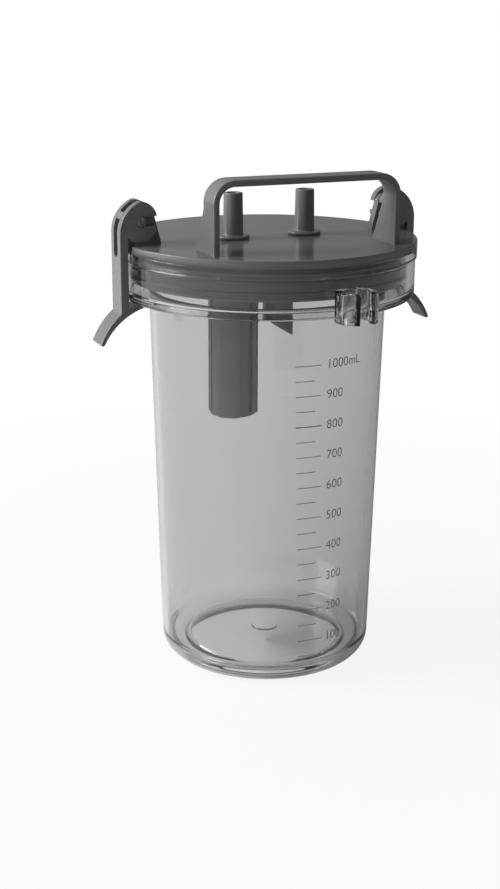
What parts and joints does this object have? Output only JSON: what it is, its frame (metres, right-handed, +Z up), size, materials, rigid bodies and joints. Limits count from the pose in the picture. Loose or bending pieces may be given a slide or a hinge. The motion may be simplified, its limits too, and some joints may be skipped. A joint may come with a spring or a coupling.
{
  "type": "suction canister",
  "caption": "Reusable suction canister: clear graduated jar, grey lid held by side latches, hose ports, carrying handle, float shut-off cage and a hose clip on the collar.",
  "frame": {"origin": "centre of the jar's round foot, on the plane it stands on", "axes": "+Z up the jar's axis, X through both latches with the patient port on the +X side, Y across, with the carrying handle on the -Y side"},
  "size_m": [0.1582, 0.1451, 0.2238],
  "materials": {
    "clear_jar": "clear glossy polycarbonate with a faint grey tint",
    "grey_lid": "mid grey, glossy moulded top",
    "grey_handle": "dark grey, smooth moulding",
    "grey_port": "mid grey, satin turned or moulded tube",
    "grey_latch": "mid grey, smooth moulding",
    "dark_cage": "dark brown grey, satin moulding",
    "float_plastic": "off-white, satin",
    "seal_rubber": "dark grey moulded rubber"
  },
  "bodies": {
    "jar_and_lid": {"jar": "clear_jar", "lid": "grey_lid", "seal_ring": "seal_rubber", "handle": "grey_handle", "vacuum_port": "grey_port", "patient_port": "grey_port", "vacuum_port_o_ring": "seal_rubber", "patient_port_o_ring": "seal_rubber", "float_cage": "dark_cage", "cage_cap": "dark_cage", "inlet_deflector": "dark_cage"},
    "float_body": {"float": "float_plastic", "float_seal": "seal_rubber"},
    "right_latch_body": {"right_latch": "grey_latch"},
    "left_latch_body": {"left_latch": "grey_latch"}
  },
  "joints": [
    {"name": "right_latch_hinge", "type": "hinge", "parent": "jar_and_lid", "child": "right_latch_body", "pos_m": [0.06002, 0, 0.2035], "axis": [0, -1, 0], "range_deg": [0, 150]},
    {"name": "left_latch_hinge", "type": "hinge", "parent": "jar_and_lid", "child": "left_latch_body", "pos_m": [-0.06002, 0, 0.2035], "axis": [0, 1, 0], "range_deg": [0, 150]},
    {"name": "float_slide", "type": "slide", "parent": "jar_and_lid", "child": "float_body", "axis": [0, 0, 1], "range_m": [0, 0.0167]}
  ]
}
